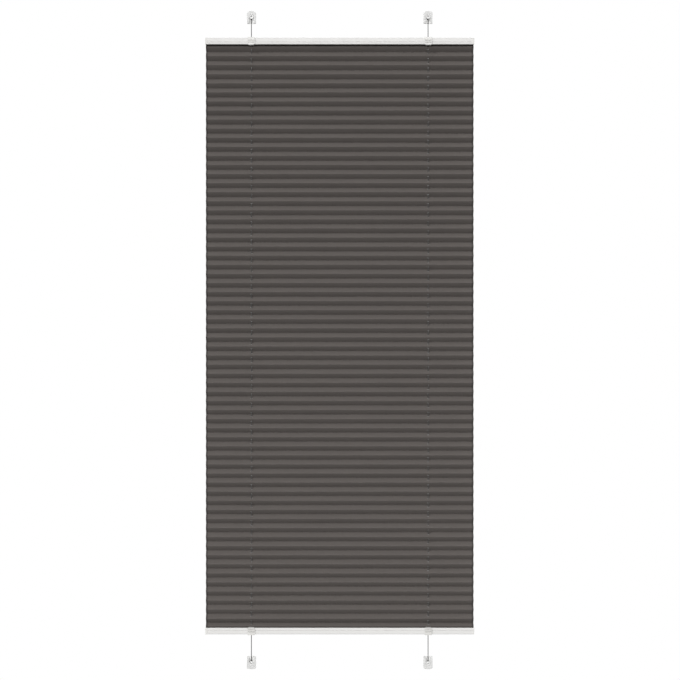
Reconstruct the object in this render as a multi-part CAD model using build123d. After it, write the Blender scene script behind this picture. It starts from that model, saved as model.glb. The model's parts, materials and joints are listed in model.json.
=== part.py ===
from build123d import *
import math
import os

# Pleated blind on two taut cords, held between four tension shoes that screw to a window frame.
# Millimetres. +Z is up, +X is right and -Y is the front, towards the room. The origin is the middle
# of the four fixing screws, on the plane of the window frame.

# Rails: one extruded section, used upright for the top rail and turned over for the bottom rail
rail_length = 500.0
rail_height = 12.1
rail_depth = 18.0
rail_wall = 1.1
rail_corner = 1.2
frame_gap = 1.0
lip_thickness = 1.0
lip_reach = 1.6
rib_thickness = 0.9
bead_radius = 1.6
bead_rise = 0.3
bead_height = 3.4
groove_radius = 0.45
groove_height = 5.3

# End caps, pushed into the rail's chamber
cap_thickness = 3.5
cap_edge = 0.8
plug_length = 9.0
plug_wall = 1.3
plug_edge = 0.5

# Flat strips that carry the fabric's ends in the rails' channels
strip_thickness = 1.2
strip_play = 0.3
strip_hole = 3.0

# Pleated fabric
fabric_drop = 1084.6
fabric_inset = 0.9
fabric_thickness = 0.3
front_folds = 65
pleat_depth = 10.0
first_fold_drop = 4.3
last_fold_rise = 2.5
last_pleat = 14.2
flange_margin = 1.2
bottom_flange = 7.6
cord_hole = 2.0
cord_hole_sides = 6

# Cords and the loops that hold them on the shoes' pins
cord_diameter = 1.4
cord_inset = 85.5
upper_cord_run = 28.2
lower_cord_run = 42.8
knot_diameter = 2.8
knot_gap = 2.05
knot_strand_share = 0.85

# Guides that lead the cords through the rails
guide_diameter = 5.0
guide_length = 6.0
guide_flange_diameter = 7.6
guide_flange_thickness = 0.9
guide_edge = 0.35
cord_play = 0.1

# Grip clips on the rails' front faces
clip_width = 13.4
clip_plate = 2.0
clip_arm = 1.2
clip_arm_reach = 3.6
clip_hook = 1.6
clip_hook_reach = 2.0
clip_hook_corner = 3.0
clip_arm_corner = 1.0
clip_edge = 0.5
clip_play = 0.05
grip_radius = 0.9
grip_groove = 1.5
grip_margin = 0.9
grip_height_shares = (0.3, 0.6)

# Tension shoes
shoe_width = 16.8
shoe_mouth_width = 16.0
shoe_height = 22.8
shoe_front_cover = 2.4
knot_play = 0.2
shoe_corner = 2.2
shoe_edge = 0.8
upper_crown = 4.4
lower_crown = 1.0
pin_from_end = 10.8
slot_mouth = 9.4
slot_play = 0.6

# Cord pins in the shoes, which the fixing screws go through
screw_hole = 2.9
screw_seat = 0.9
pin_wall = 0.65
pin_collar = 1.8
pin_flange_thickness = 1.2
loop_play = 0.05
groove_play = 0.3

# Play of pieces that push together, and the overrun of cuts
fit_play = 0.1
cut_over = 1.0

# Rail section: heights are counted from the edge on the fabric's side
mouth_width = rail_depth - 2 * (rail_wall + lip_reach)
chamber_width = rail_depth - 2 * rail_wall
channel_top = lip_thickness + strip_thickness + strip_play
chamber_floor = channel_top + rib_thickness
chamber_top = rail_height - rail_wall
rail_end = rail_length / 2 - cap_thickness

# Depths from the frame, and heights of everything that hangs between the shoes
cord_y = -(frame_gap + rail_depth / 2)
cord_x = rail_length / 2 - cord_inset
cord_radius = cord_diameter / 2
shoe_depth = shoe_front_cover - cord_y
shoe_floor = -cord_y - knot_diameter / 2 - knot_play
hung_height = upper_cord_run + 2 * rail_height + fabric_drop + lower_cord_run
screw_z = hung_height / 2 + shoe_height - pin_from_end
top_edge_z = hung_height / 2 - upper_cord_run - rail_height
bottom_edge_z = top_edge_z - fabric_drop

# Pin, loop and slot
screw_radius = screw_hole / 2
pin_groove_radius = screw_radius + pin_wall
pin_radius = pin_groove_radius + pin_collar
pin_groove_back = -cord_y - cord_radius - groove_play
pin_groove_front = -cord_y + cord_radius + groove_play
loop_radius = pin_groove_radius + loop_play + cord_radius
knot_drop = loop_radius + knot_gap
slot_end_radius = loop_radius + cord_radius + slot_play


def upright(radius, low, high):
    """Vertical cylinder on the Z axis between two heights."""
    return extrude(Plane.XY.offset(low) * Circle(radius), amount=high - low)


def disc(radius, back, front):
    """Cylinder on the Y axis between two distances in front of the frame."""
    return extrude(Plane.XZ.offset(back) * Circle(radius), amount=front - back)


def band(width, low, high):
    """Rectangle across the rail's depth, between two heights of its section."""
    return Pos(0, (low + high) / 2) * Rectangle(width, high - low)


def along_rail(section, length):
    """Section in depth and height, run along X by the length, about the middle."""
    return extrude(Plane.YZ * section, amount=length / 2, both=True)


def rail():
    """Aluminium extrusion with a chamber, a channel for the strip and a mouth for the fabric."""
    section = band(rail_depth, 0, rail_height)
    section = fillet(section.vertices(), rail_corner)
    bead_y = rail_depth / 2 + bead_rise - bead_radius
    for side in (-1, 1):
        section += Pos(side * bead_y, bead_height) * Circle(bead_radius)
        section -= Pos(side * rail_depth / 2, groove_height) * Circle(groove_radius)
    section -= band(chamber_width, chamber_floor, chamber_top)
    section -= band(chamber_width, lip_thickness, channel_top)
    section -= band(mouth_width, -cut_over, chamber_floor + cut_over)
    body = along_rail(section, 2 * rail_end)
    hole = upright(guide_diameter / 2 + fit_play, chamber_floor, rail_height + cut_over)
    return body - [Pos(side * cord_x) * hole for side in (-1, 1)]


def end_cap():
    """Cap of the right end: a plate over the section, and a hollow plug in the chamber."""
    plate_outline = fillet(band(rail_depth + 2 * bead_rise, 0, rail_height).vertices(), rail_corner)
    plate = extrude(Plane.YZ.offset(rail_end) * plate_outline, amount=cap_thickness)
    plate = fillet(plate.faces().sort_by(Axis.X)[-1].edges(), cap_edge)
    notch = band(mouth_width, -cut_over, lip_thickness + strip_play)
    plate -= extrude(Plane.YZ.offset(rail_end - cut_over) * notch, amount=cap_thickness + 2 * cut_over)
    plug_width = chamber_width - 2 * fit_play
    plug_low = chamber_floor + fit_play
    plug_high = chamber_top - fit_play
    plug = band(plug_width, plug_low, plug_high)
    plug = extrude(Plane.YZ.offset(rail_end) * plug, amount=-plug_length)
    plug = chamfer(plug.faces().sort_by(Axis.X)[0].edges(), plug_edge)
    hollow = band(plug_width - 2 * plug_wall, plug_low + plug_wall, plug_high - plug_wall)
    plug -= extrude(Plane.YZ.offset(rail_end) * hollow, amount=-(plug_length + cut_over))
    return plate + plug


def fabric_strip():
    """Flat strip that rests on the rail's lips, with a hole for each cord."""
    section = band(chamber_width - 2 * fit_play, lip_thickness, lip_thickness + strip_thickness)
    body = along_rail(section, 2 * (rail_end - strip_play))
    hole = upright(strip_hole / 2, 0, channel_top)
    return body - [Pos(side * cord_x) * hole for side in (-1, 1)]


def cord_guide():
    """Flanged bush in the rail's outer wall."""
    flange_top = rail_height + guide_flange_thickness
    flange = upright(guide_flange_diameter / 2, rail_height, flange_top)
    flange = chamfer(flange.edges().group_by(Axis.Z)[-1], guide_edge)
    barrel = upright(guide_diameter / 2, rail_height - guide_length, rail_height)
    bore = upright(cord_radius + cord_play, rail_height - guide_length, flange_top)
    body = flange + barrel - bore
    return chamfer(body.edges().group_by(Axis.Z)[-1].sort_by(SortBy.RADIUS)[0], guide_edge)


def grip_clip():
    """Moulded clip that snaps over the rail from the front, with two finger grooves."""
    inner = -(rail_depth / 2 + bead_rise + clip_play)
    front = inner - clip_plate
    arm_low = rail_height + clip_play
    arm_end = clip_arm_reach - rail_depth / 2
    hook_end = clip_hook_reach - rail_depth / 2
    low = -(clip_play + clip_hook)
    high = arm_low + clip_arm
    section = make_face(Polyline(
        (front, low), (hook_end, low), (hook_end, -clip_play), (inner, -clip_play),
        (inner, arm_low), (arm_end, arm_low), (arm_end, high), (front, high), close=True,
    ))
    outline = band(clip_width, low, high)
    corners = outline.vertices().group_by(Axis.Y)
    outline = fillet(corners[0], clip_hook_corner)
    outline = fillet(outline.vertices().group_by(Axis.Y)[-1], clip_arm_corner)
    body = along_rail(section, clip_width) & extrude(Plane.XZ * outline, amount=-front)
    body = fillet(body.faces().sort_by(Axis.Y)[0].edges(), clip_edge)
    groove_y = front + grip_groove - grip_radius
    groove = Circle(grip_radius) + Pos(-grip_groove / 2) * Rectangle(grip_groove, 2 * grip_radius)
    groove = along_rail(groove, clip_width - 2 * grip_margin)
    return body - [Pos(0, groove_y, share * rail_height) * groove for share in grip_height_shares]


def folded_line():
    """Fabric in section, as (depth, height) points from the top strip down to the bottom strip."""
    fold_back = mouth_width / 2 - flange_margin
    glue_height = lip_thickness - fabric_thickness / 2
    first = top_edge_z - first_fold_drop
    last = bottom_edge_z + last_fold_rise
    half_pitch = (first - last - last_pleat) / (front_folds - 2) / 2
    front = cord_y - pleat_depth / 2
    back = cord_y + pleat_depth / 2
    points = [(cord_y - fold_back, top_edge_z + glue_height), (cord_y + fold_back, top_edge_z + glue_height)]
    for fold in range(front_folds - 1):
        height = first - 2 * fold * half_pitch
        points += [(front, height), (back, height - half_pitch)]
    points += [(front, last), (cord_y + fold_back - bottom_flange, bottom_edge_z - glue_height)]
    points += [(cord_y + fold_back, bottom_edge_z - glue_height)]
    return [Vector(*point) for point in points]


def thickened(points, thickness):
    """Outline of a folded line of constant thickness, mitred at the folds."""
    runs = [(after - before).normalized() for before, after in zip(points, points[1:])]
    normals = [Vector(-run.Y, run.X) for run in runs]
    offsets = []
    for before, after in zip(normals[:1] + normals, normals + normals[-1:]):
        offsets.append((before + after) * (thickness / 2 / (1 + before.dot(after))))
    left = [point + offset for point, offset in zip(points, offsets)]
    right = [point - offset for point, offset in zip(points, offsets)]
    return make_face(Polyline(*left, *reversed(right), close=True))


def pleated_fabric():
    """One sheet, folded to and fro, with a hole in every facet for each cord."""
    sheet = along_rail(thickened(folded_line(), fabric_thickness), rail_length - 2 * fabric_inset)
    punch = RegularPolygon(cord_hole / 2, cord_hole_sides, major_radius=False)
    punch = extrude(Plane.XY * punch, amount=hung_height / 2, both=True)
    return sheet - [Pos(side * cord_x, cord_y) * punch for side in (-1, 1)]


def cord_loop():
    """Loop of cord round a pin at the origin, tied in a knot below it."""
    leave = math.acos(loop_radius / knot_drop)
    right = Vector(loop_radius * math.sin(leave), 0, -loop_radius * math.cos(leave))
    left = Vector(-right.X, 0, right.Z)
    knot = Vector(0, 0, -knot_drop)
    strand = (right - knot).normalized() * (knot_strand_share * knot_diameter / 2)
    start = knot + strand
    end = knot + Vector(-strand.X, 0, strand.Z)
    path = Line(start, right) + ThreePointArc(right, (0, 0, loop_radius), left) + Line(left, end)
    tube = sweep(Plane(origin=start, z_dir=strand) * Circle(cord_radius), path)
    return tube + Pos(knot) * Sphere(knot_diameter / 2)


def cord():
    """Taut cord from the upper pin to the lower one, on the Z axis."""
    knot_z = screw_z - knot_drop
    run = upright(cord_radius, -knot_z, knot_z)
    return run + Pos(0, 0, screw_z) * cord_loop() + Pos(0, 0, -screw_z) * Rot(0, 180, 0) * cord_loop()


def tension_shoe(crown):
    """Moulded shoe with its slot's mouth down and its pin's axis at the origin."""
    mouth_z = pin_from_end - shoe_height
    shoulder_z = pin_from_end - crown
    foot = shoe_mouth_width / 2
    flank = shoe_width / 2
    outline = Polyline((-flank, shoulder_z), (-foot, mouth_z), (foot, mouth_z), (flank, shoulder_z))
    outline += ThreePointArc((flank, shoulder_z), (0, pin_from_end), (-flank, shoulder_z))
    face = make_face(outline)
    face = fillet(face.vertices().sort_by(Axis.Y)[-2:], shoe_corner)
    body = extrude(Plane.XZ * face, amount=shoe_depth)
    body = fillet(body.faces().sort_by(Axis.Y)[0].edges(), shoe_edge)
    mouth = slot_mouth / 2
    funnel = make_face(Polyline(
        (-slot_end_radius, 0), (-mouth, mouth_z), (-mouth, mouth_z - cut_over),
        (mouth, mouth_z - cut_over), (mouth, mouth_z), (slot_end_radius, 0), close=True,
    ))
    slot = Plane.XZ.offset(shoe_floor) * (funnel + Circle(slot_end_radius))
    body -= extrude(slot, amount=shoe_depth)
    return body - disc(screw_radius, -cut_over, shoe_floor + cut_over)


def cord_pin():
    """Grooved pin that stands on the shoe's floor, with a sunk seat for the screw's head."""
    pin_front = pin_groove_front + pin_flange_thickness
    body = disc(pin_radius, shoe_floor, pin_groove_back)
    body += disc(pin_groove_radius, pin_groove_back, pin_groove_front)
    body += disc(pin_radius, pin_groove_front, pin_front)
    body -= disc(screw_radius, shoe_floor - cut_over, pin_front + cut_over)
    mouth = body.faces().sort_by(Axis.Y)[0].edges().sort_by(SortBy.RADIUS)[0]
    return chamfer(mouth, screw_seat)


def pieces():
    """Every node's name and its solid in place."""
    placed = {
        "pleated_fabric": pleated_fabric(),
        "left_cord": Pos(-cord_x, cord_y) * cord(),
        "right_cord": Pos(cord_x, cord_y) * cord(),
    }
    ends = (
        ("top", 1, Pos(0, cord_y, top_edge_z), upper_crown),
        ("bottom", -1, Pos(0, cord_y, bottom_edge_z) * Rot(0, 180, 0), lower_crown),
    )
    for end, up, rail_place, crown in ends:
        placed[f"{end}_rail"] = rail_place * rail()
        placed[f"{end}_fabric_strip"] = rail_place * fabric_strip()
        for side_name, side in (("left", -1), ("right", 1)):
            name = f"{end}_{side_name}"
            turn = Rot(0, 0, 0 if side * up > 0 else 180)
            on_cord = rail_place * Pos(side * up * cord_x)
            shoe_place = Pos(side * cord_x, 0, up * screw_z) * Rot(0, 0 if up > 0 else 180, 0)
            placed[f"{name}_end_cap"] = rail_place * turn * end_cap()
            placed[f"{name}_cord_guide"] = on_cord * cord_guide()
            placed[f"{name}_grip_clip"] = on_cord * grip_clip()
            placed[f"{name}_tension_shoe"] = shoe_place * tension_shoe(crown)
            placed[f"{name}_cord_pin"] = shoe_place * cord_pin()
    return placed


os.makedirs("parts", exist_ok=True)
for node, solid in pieces().items():
    export_step(solid, f"parts/{node}.step")
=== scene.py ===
"""Looks of a pleated blind that slides on two taut cords between four tension shoes.

Everything is in metres in the CAD frame: +Z is up, +X is right and -Y is the front, towards the room.
The rails, caps, strips, guides, clips, shoes and pins keep their CAD meshes and get their finishes here.
The pleated fabric and the cords are built anew, with folds, holes, weave, loops and knots.
"""

import json
import logging
import math
from dataclasses import dataclass
from enum import Enum
from typing import Any, Iterable, Sequence

import bpy
import numpy as np
from mathutils import Matrix, Vector

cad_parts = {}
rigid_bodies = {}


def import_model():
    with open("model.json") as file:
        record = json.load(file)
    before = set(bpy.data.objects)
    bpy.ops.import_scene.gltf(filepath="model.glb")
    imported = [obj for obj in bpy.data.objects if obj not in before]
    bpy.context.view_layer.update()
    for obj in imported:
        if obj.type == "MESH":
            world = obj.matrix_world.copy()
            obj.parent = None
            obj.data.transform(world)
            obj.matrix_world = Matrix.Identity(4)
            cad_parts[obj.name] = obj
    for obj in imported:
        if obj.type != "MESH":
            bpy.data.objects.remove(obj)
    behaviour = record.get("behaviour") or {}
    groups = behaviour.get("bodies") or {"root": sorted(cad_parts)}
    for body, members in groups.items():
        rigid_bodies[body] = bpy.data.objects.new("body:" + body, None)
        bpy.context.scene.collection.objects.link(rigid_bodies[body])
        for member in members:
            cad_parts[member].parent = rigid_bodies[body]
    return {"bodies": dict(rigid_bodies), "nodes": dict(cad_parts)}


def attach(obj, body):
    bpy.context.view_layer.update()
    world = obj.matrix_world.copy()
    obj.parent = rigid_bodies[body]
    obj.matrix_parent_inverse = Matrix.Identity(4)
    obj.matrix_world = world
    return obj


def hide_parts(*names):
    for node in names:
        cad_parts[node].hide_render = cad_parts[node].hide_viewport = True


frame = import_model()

LOG = logging.getLogger("pleated_blind")

# How far the cords run from the blind's middle, and at what depth.
CORD_X = 0.1645
CORD_Y = -0.010

# Any long way in line with a flange, and a distance that counts as none.
FAR = 1.0
NEAR = 1e-6

Colour = tuple[float, float, float]
Point2 = tuple[float, float]
Point3 = tuple[float, float, float]
Material = bpy.types.Material
Mesh = bpy.types.Mesh
Node = bpy.types.Node
Piece = bpy.types.Object
Socket = bpy.types.NodeSocket
Tree = bpy.types.NodeTree


class Body(Enum):
    """CAD bodies that the pieces ride on."""

    CORDS = "tensioned_cords"
    TOP = "top_rail_assembly"
    BOTTOM = "bottom_rail_assembly"


class End(Enum):
    """The two ends of the blind, by the word that starts their nodes' names."""

    TOP = "top"
    BOTTOM = "bottom"


class Side(Enum):
    """The two cords' sides, by the sign of their place along X."""

    LEFT = -1
    RIGHT = 1

    @property
    def word(self) -> str:
        """The side's word in node names."""
        return self.name.lower()


class Slot(Enum):
    """Material slots of the record that the new pieces belong to."""

    CORD = "grey_cord"
    FABRIC = "pleat_fabric"


class Kind(Enum):
    """Kinds of sockets that a node tree takes and gives."""

    NUMBER = "NodeSocketFloat"
    COUNT = "NodeSocketInt"
    VECTOR = "NodeSocketVector"
    GEOMETRY = "NodeSocketGeometry"
    OBJECT = "NodeSocketObject"
    MATERIAL = "NodeSocketMaterial"


Ports = dict[str, Kind]


def tone(red: int, green: int, blue: int) -> Colour:
    """Turns a display colour, with parts from 0 to 255, into the linear colour that shaders use."""
    shares = (red / 255, green / 255, blue / 255)
    return tuple(s / 12.92 if s <= 0.04045 else ((s + 0.055) / 1.055) ** 2.4 for s in shares)


def scaled(colour: Colour, share: float) -> Colour:
    """The colour made lighter or darker by a share."""
    return tuple(min(1.0, part * share) for part in colour)


class NodeSheet:
    """Adds nodes to one node tree and links them."""

    def __init__(self, tree: Tree) -> None:
        """Keeps the tree that the nodes go into."""
        self.tree = tree

    def add(self, kind: str, inputs: dict[Any, Any] | None = None, **settings: Any) -> Node:
        """Adds one node.

        Args:
            kind: The node's type name.
            inputs: Values or output sockets by input name or index.
            settings: Properties of the node itself, set before its inputs.

        Returns:
            The new node.
        """
        node = self.tree.nodes.new(kind)
        for name, value in settings.items():
            setattr(node, name, value)
        for key, value in (inputs or {}).items():
            self.feed(node.inputs[key], value)
        return node

    def give(self, kind: str, inputs: dict[Any, Any] | None = None, **settings: Any) -> Socket:
        """Adds one node, as add does, and gives its first output."""
        return self.add(kind, inputs, **settings).outputs[0]

    def feed(self, socket: Socket, value: Any) -> None:
        """Links an output socket to an input, or sets the input's plain value.

        Args:
            socket: The input.
            value: The output socket or the plain value.
        """
        if isinstance(value, Socket):
            self.tree.links.new(value, socket)
        else:
            socket.default_value = value

    def math(self, operation: str, *values: Any) -> Socket:
        """The result of a Math node, from sockets or numbers."""
        return self.give("ShaderNodeMath", dict(enumerate(values)), operation=operation)

    def vector(self, operation: str, *values: Any) -> Socket:
        """The vector result of a Vector Math node, from sockets or triples."""
        return self.give("ShaderNodeVectorMath", dict(enumerate(values)), operation=operation)

    def split(self, vector: Socket) -> Any:
        """The three parts of a vector."""
        return self.add("ShaderNodeSeparateXYZ", {0: vector}).outputs

    def triple(self, x: Any = 0.0, y: Any = 0.0, z: Any = 0.0) -> Socket:
        """A vector made of three parts, as sockets or numbers."""
        return self.give("ShaderNodeCombineXYZ", {0: x, 1: y, 2: z})

    def ranged(self, value: Socket, to_low: float, to_high: float, low: float = 0.0,
               high: float = 1.0) -> Socket:
        """Maps a value so that low gives to_low and high gives to_high, clamped."""
        return self.give("ShaderNodeMapRange", {0: value, 1: low, 2: high, 3: to_low, 4: to_high})

    def between(self, value: Socket, low: float, high: float, fade: float) -> Socket:
        """Makes a mask of the values between two limits.

        Args:
            value: The socket to test.
            low: Where the mask starts to rise.
            high: Where the mask has fallen again.
            fade: How far it takes to rise or fall.

        Returns:
            The mask, from 0 to 1.
        """
        rising = self.ranged(value, 0.0, 1.0, low, low + fade)
        falling = self.ranged(value, 1.0, 0.0, high - fade, high)
        return self.math("MULTIPLY", rising, falling)

    def mixed(self, share: Socket, first: Any, second: Any) -> Socket:
        """Mixes two colours.

        Args:
            share: How much of the second colour shows.
            first: The colour at share 0, plain or as a socket.
            second: The colour at share 1, plain or as a socket.

        Returns:
            The mixed colour.
        """
        node = self.add("ShaderNodeMix", {"Factor": share}, data_type="RGBA")
        for socket, value in ((node.inputs[6], first), (node.inputs[7], second)):
            self.feed(socket, value if isinstance(value, Socket) else (*value, 1.0))
        return node.outputs[2]

    def keep(self, geometry: Socket, name: str, value: Socket, domain: str, kind: str = "FLOAT") -> Socket:
        """The geometry with a value kept on its points, corners or instances as a named attribute."""
        inputs = {"Geometry": geometry, "Name": name, "Value": value}
        return self.give("GeometryNodeStoreNamedAttribute", inputs, data_type=kind, domain=domain)

    def kept(self, name: str, kind: str = "FLOAT") -> Socket:
        """A named attribute of the geometry that a node works on."""
        return self.give("GeometryNodeInputNamedAttribute", {"Name": name}, data_type=kind)

    def joined(self, *geometries: Socket) -> Socket:
        """Makes one geometry of several.

        Args:
            geometries: The geometries, in the order in which they are linked.

        Returns:
            The joined geometry.
        """
        node = self.add("GeometryNodeJoinGeometry")
        for geometry in geometries:
            self.tree.links.new(geometry, node.inputs[0])
        return node.outputs[0]


def numbers(*names: str) -> Ports:
    """Sockets that each hold one number."""
    return dict.fromkeys(names, Kind.NUMBER)


def new_tree(name: str, kind: str, takes: Ports, gives: Ports) -> tuple[NodeSheet, Any, Any]:
    """Starts a node tree with named inputs and outputs.

    Args:
        name: The tree's name.
        kind: ShaderNodeTree or GeometryNodeTree.
        takes: Its inputs, by name.
        gives: Its outputs, by name.

    Returns:
        The sheet to add nodes with, the input node's outputs and the output node's inputs.
    """
    tree = bpy.data.node_groups.new(name, kind)
    for ports, way in ((takes, "INPUT"), (gives, "OUTPUT")):
        for port, port_kind in ports.items():
            tree.interface.new_socket(port, in_out=way, socket_type=port_kind.value)
    sheet = NodeSheet(tree)
    return sheet, sheet.add("NodeGroupInput").outputs, sheet.add("NodeGroupOutput").inputs


@dataclass
class Effects:
    """Shader node groups that several finishes share, each built once."""

    fine_detail: float = 2.0
    mottle_detail: float = 4.0
    mottle_roughness: float = 0.6
    mottle_low: float = 0.32
    mottle_high: float = 0.68

    def __post_init__(self) -> None:
        """Builds the groups."""
        self.grain = self.fine_grain()
        self.threads = self.woven_threads()

    def fine_grain(self) -> Tree:
        """Fine surface grain with a broad, faint mottle.

        Returns:
            The group, which gives a height for bumps and a mask from 0 to 1.
        """
        sheet, takes, gives = new_tree(
            "fine_grain", "ShaderNodeTree",
            {"Place": Kind.VECTOR, **numbers("Scale", "Mottle Scale")}, numbers("Height", "Mottle"))
        fine = {"Vector": takes["Place"], "Scale": takes["Scale"], "Detail": self.fine_detail}
        broad = {"Vector": takes["Place"], "Scale": takes["Mottle Scale"], "Detail": self.mottle_detail,
                 "Roughness": self.mottle_roughness}
        sheet.feed(gives["Height"], sheet.give("ShaderNodeTexNoise", fine))
        mottle = sheet.give("ShaderNodeTexNoise", broad)
        sheet.feed(gives["Mottle"], sheet.ranged(mottle, 0.0, 1.0, self.mottle_low, self.mottle_high))
        return sheet.tree

    def woven_threads(self) -> Tree:
        """Threads that pass over and under each other.

        Returns:
            The group, which takes a place counted in threads both ways and gives a height and a mask of
            the threads that lie on top.
        """
        sheet, takes, gives = new_tree(
            "woven_threads", "ShaderNodeTree", {"Threads": Kind.VECTOR}, numbers("Height", "Upper"))
        across, along = sheet.split(takes["Threads"])[:2]
        ridges = []
        for place, other, shift in ((across, along, 0.5), (along, across, 1.5)):
            round_top = sheet.math("ABSOLUTE", sheet.math("SINE", sheet.math("MULTIPLY", place, math.pi)))
            number = sheet.math("ADD", sheet.math("FLOOR", place), shift)
            wave = sheet.math("COSINE", sheet.math("MULTIPLY", sheet.math("ADD", other, number), math.pi))
            ridges.append(sheet.math("MULTIPLY", round_top, sheet.math("MULTIPLY_ADD", wave, 0.5, 0.5)))
        sheet.feed(gives["Height"], sheet.math("MAXIMUM", *ridges))
        sheet.feed(gives["Upper"], sheet.math("GREATER_THAN", *ridges))
        return sheet.tree


@dataclass(frozen=True)
class Finish:
    """A finish with one main colour and a roughness that varies a little about its mean."""

    name: str
    colour: Colour
    roughness: float
    roughness_spread: float = 0.06
    grain_scale: float = 3200.0
    mottle_scale: float = 260.0

    @property
    def rough_limits(self) -> tuple[float, float]:
        """The lowest and the highest roughness."""
        return self.roughness - self.roughness_spread, self.roughness + self.roughness_spread

    def start(self) -> tuple[Material, NodeSheet, Node]:
        """Starts the material.

        Returns:
            The material, the sheet of its nodes and its Principled shader.
        """
        material = bpy.data.materials.new(self.name)
        material.use_nodes = True
        material.diffuse_color = (*self.colour, 1.0)
        return material, NodeSheet(material.node_tree), material.node_tree.nodes["Principled BSDF"]

    def grained(self, sheet: NodeSheet, effects: Effects, place: Socket) -> Any:
        """Adds the shared grain at the finish's own scales and gives its outputs, Height and Mottle."""
        inputs = {"Place": place, "Scale": self.grain_scale, "Mottle Scale": self.mottle_scale}
        return sheet.add("ShaderNodeGroup", inputs, node_tree=effects.grain).outputs

    def material(self, effects: Effects) -> Material:
        """Builds the finish as a material that uses the shared node groups."""
        raise NotImplementedError


@dataclass(frozen=True)
class HardFinish(Finish):
    """A hard surface with a fine grain, a faint mottle and a gloss that follows the mottle."""

    grain_depth: float = 0.00001
    shade_share: float = 0.95

    def material(self, effects: Effects) -> Material:
        """Builds the surface.

        Args:
            effects: The shared node groups.

        Returns:
            The finished material.
        """
        material, sheet, shader = self.start()
        place = sheet.add("ShaderNodeTexCoord").outputs["Object"]
        grain = self.grained(sheet, effects, place)
        skin = sheet.give("ShaderNodeBump", {"Height": grain["Height"], "Distance": self.grain_depth})
        sheet.feed(shader.inputs["Base Color"], self.body_colour(sheet, place, grain["Mottle"]))
        sheet.feed(shader.inputs["Roughness"], sheet.ranged(grain["Mottle"], *self.rough_limits))
        sheet.feed(shader.inputs["Normal"], self.relief(sheet, place, skin))
        self.set_inside(shader)
        return material

    def body_colour(self, sheet: NodeSheet, place: Socket, mottle: Socket) -> Socket:
        """The colour at a place, with a faint mottle."""
        return sheet.mixed(mottle, self.colour, scaled(self.colour, self.shade_share))

    def relief(self, sheet: NodeSheet, place: Socket, skin: Socket) -> Socket:
        """The normal at a place, which is the skin's own where a finish adds nothing to it."""
        return skin

    def set_inside(self, shader: Node) -> None:
        """Leaves the inside solid, where a finish doesn't let light in."""


@dataclass(frozen=True)
class PowderCoat(HardFinish):
    """Satin powder coat on an extruded rail, with its orange peel and the die's faint lines."""

    roughness_spread: float = 0.04
    grain_scale: float = 1500.0
    grain_depth: float = 0.000012
    mottle_scale: float = 45.0
    shade_share: float = 0.99
    line_stretch: float = 0.004
    line_scale: float = 1400.0
    line_detail: float = 1.0
    line_depth: float = 0.00001

    def relief(self, sheet: NodeSheet, place: Socket, skin: Socket) -> Socket:
        """Adds the die's lines to the orange peel.

        Args:
            sheet: The sheet of the material's nodes.
            place: The place on the piece.
            skin: The normal of the orange peel.

        Returns:
            The normal with both.
        """
        drawn = sheet.give("ShaderNodeMapping", {"Vector": place, "Scale": (self.line_stretch, 1.0, 1.0)})
        lines = {"Vector": drawn, "Scale": self.line_scale, "Detail": self.line_detail}
        height = sheet.give("ShaderNodeTexNoise", lines)
        return sheet.give("ShaderNodeBump", {"Height": height, "Distance": self.line_depth, "Normal": skin})


@dataclass(frozen=True)
class MouldedPlastic(HardFinish):
    """Moulded plastic with a fine spark-worn skin, more or less milky."""

    milkiness: float = 0.0
    glow_depth: float = 0.002

    def set_inside(self, shader: Node) -> None:
        """Lets light into the plastic as far as it is milky.

        Args:
            shader: The material's shader.
        """
        shader.inputs["Subsurface Weight"].default_value = self.milkiness
        shader.inputs["Subsurface Scale"].default_value = self.glow_depth
        shader.inputs["Subsurface Radius"].default_value = (1.0, 1.0, 1.0)


@dataclass(frozen=True)
class ShoePlastic(MouldedPlastic):
    """Milky plastic with painted light along the floor of the cord's channel, which lifts the shade in that
    recess.
    """

    # The colour of the painted light on the channel floor.
    floor_colour: Colour = tone(235, 235, 234)
    channel_half: float = 0.0046
    floor_front: float = -0.0095
    floor_back: float = -0.006
    fade: float = 0.0008

    def body_colour(self, sheet: NodeSheet, place: Socket, mottle: Socket) -> Socket:
        """Colours the plastic and paints light onto the floor of its channel, against the shade in that
        recess.

        Args:
            sheet: The sheet of the material's nodes.
            place: The place on the piece.
            mottle: The mask of the mottle.

        Returns:
            The colour.
        """
        plain = super().body_colour(sheet, place, mottle)
        # Painted light: the channel floor gets a lighter colour to lift the shade in the recess.
        x, y = sheet.split(place)[:2]
        inner, outer = CORD_X - self.channel_half, CORD_X + self.channel_half
        across = sheet.between(sheet.math("ABSOLUTE", x), inner, outer, self.fade)
        painted_light_band = sheet.between(y, self.floor_front, self.floor_back, self.fade)
        return sheet.mixed(sheet.math("MULTIPLY", across, painted_light_band), plain, self.floor_colour)


@dataclass(frozen=True)
class ClipPlastic(MouldedPlastic):
    """Thin milky plastic with painted shade on its lip, where it reaches past the rail over the cloth."""

    lip_share: float = 0.56
    bottom_rail_edge: float = -0.535
    top_rail_edge: float = 0.5496
    fade: float = 0.0008

    def body_colour(self, sheet: NodeSheet, place: Socket, mottle: Socket) -> Socket:
        """Colours the plastic and paints shade onto its lip.

        Args:
            sheet: The sheet of the material's nodes.
            place: The place on the piece.
            mottle: The mask of the mottle.

        Returns:
            The colour.
        """
        plain = super().body_colour(sheet, place, mottle)
        # Painted shade: the lip past the rail's edge gets a darker colour.
        low, high = self.bottom_rail_edge - self.fade, self.top_rail_edge + self.fade
        lip = sheet.between(sheet.split(place)[2], low, high, self.fade)
        return sheet.mixed(lip, plain, scaled(self.colour, self.lip_share))


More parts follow.
